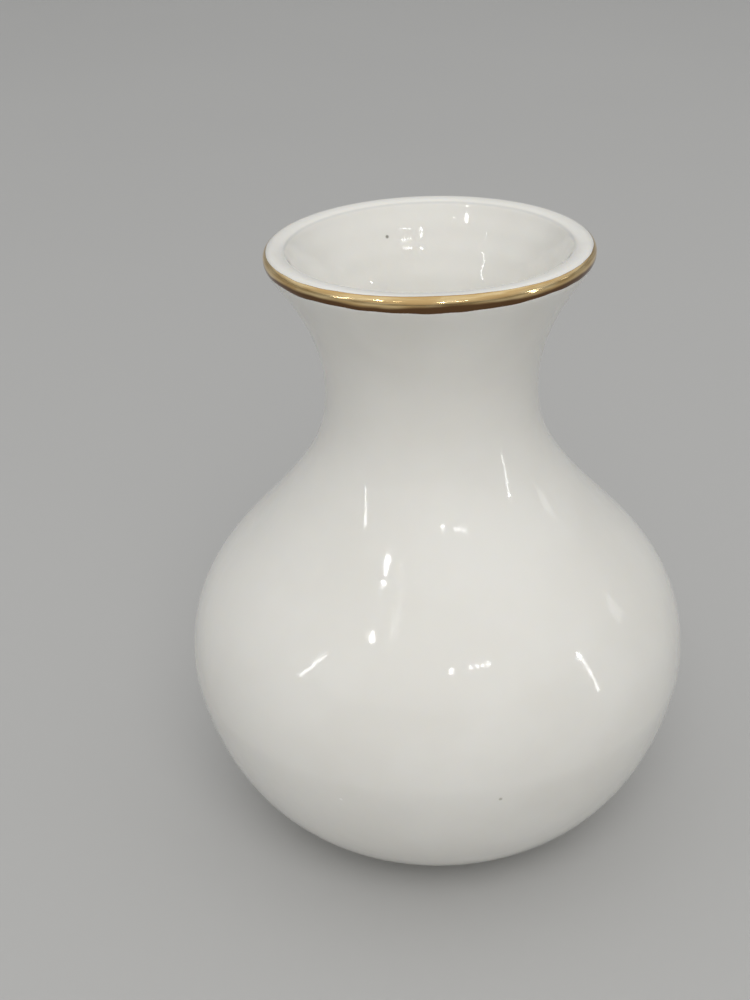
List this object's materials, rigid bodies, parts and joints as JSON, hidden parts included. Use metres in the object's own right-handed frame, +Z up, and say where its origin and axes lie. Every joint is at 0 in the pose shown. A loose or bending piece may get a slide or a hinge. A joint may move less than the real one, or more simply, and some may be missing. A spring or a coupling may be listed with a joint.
{
  "type": "bud vase",
  "caption": "Small glazed porcelain bud vase: round belly, waisted neck, flared lip with a gilt band, bare foot ring.",
  "frame": {"origin": "centre of the foot ring on the surface that the vase stands on", "axes": "+Z up along the vase's axis of revolution, from the foot to the lip; X and Y are free"},
  "size_m": [0.062, 0.062, 0.076],
  "materials": {
    "glaze": "clear gloss glaze over white porcelain",
    "gold": "bright fired gold, brushed on by hand",
    "bare_clay": "unglazed fired clay, fine matt"
  },
  "bodies": {
    "root": {"glazed_body": "glaze", "gilt_rim_band": "gold", "bare_foot_ring": "bare_clay"}
  },
  "joints": []
}
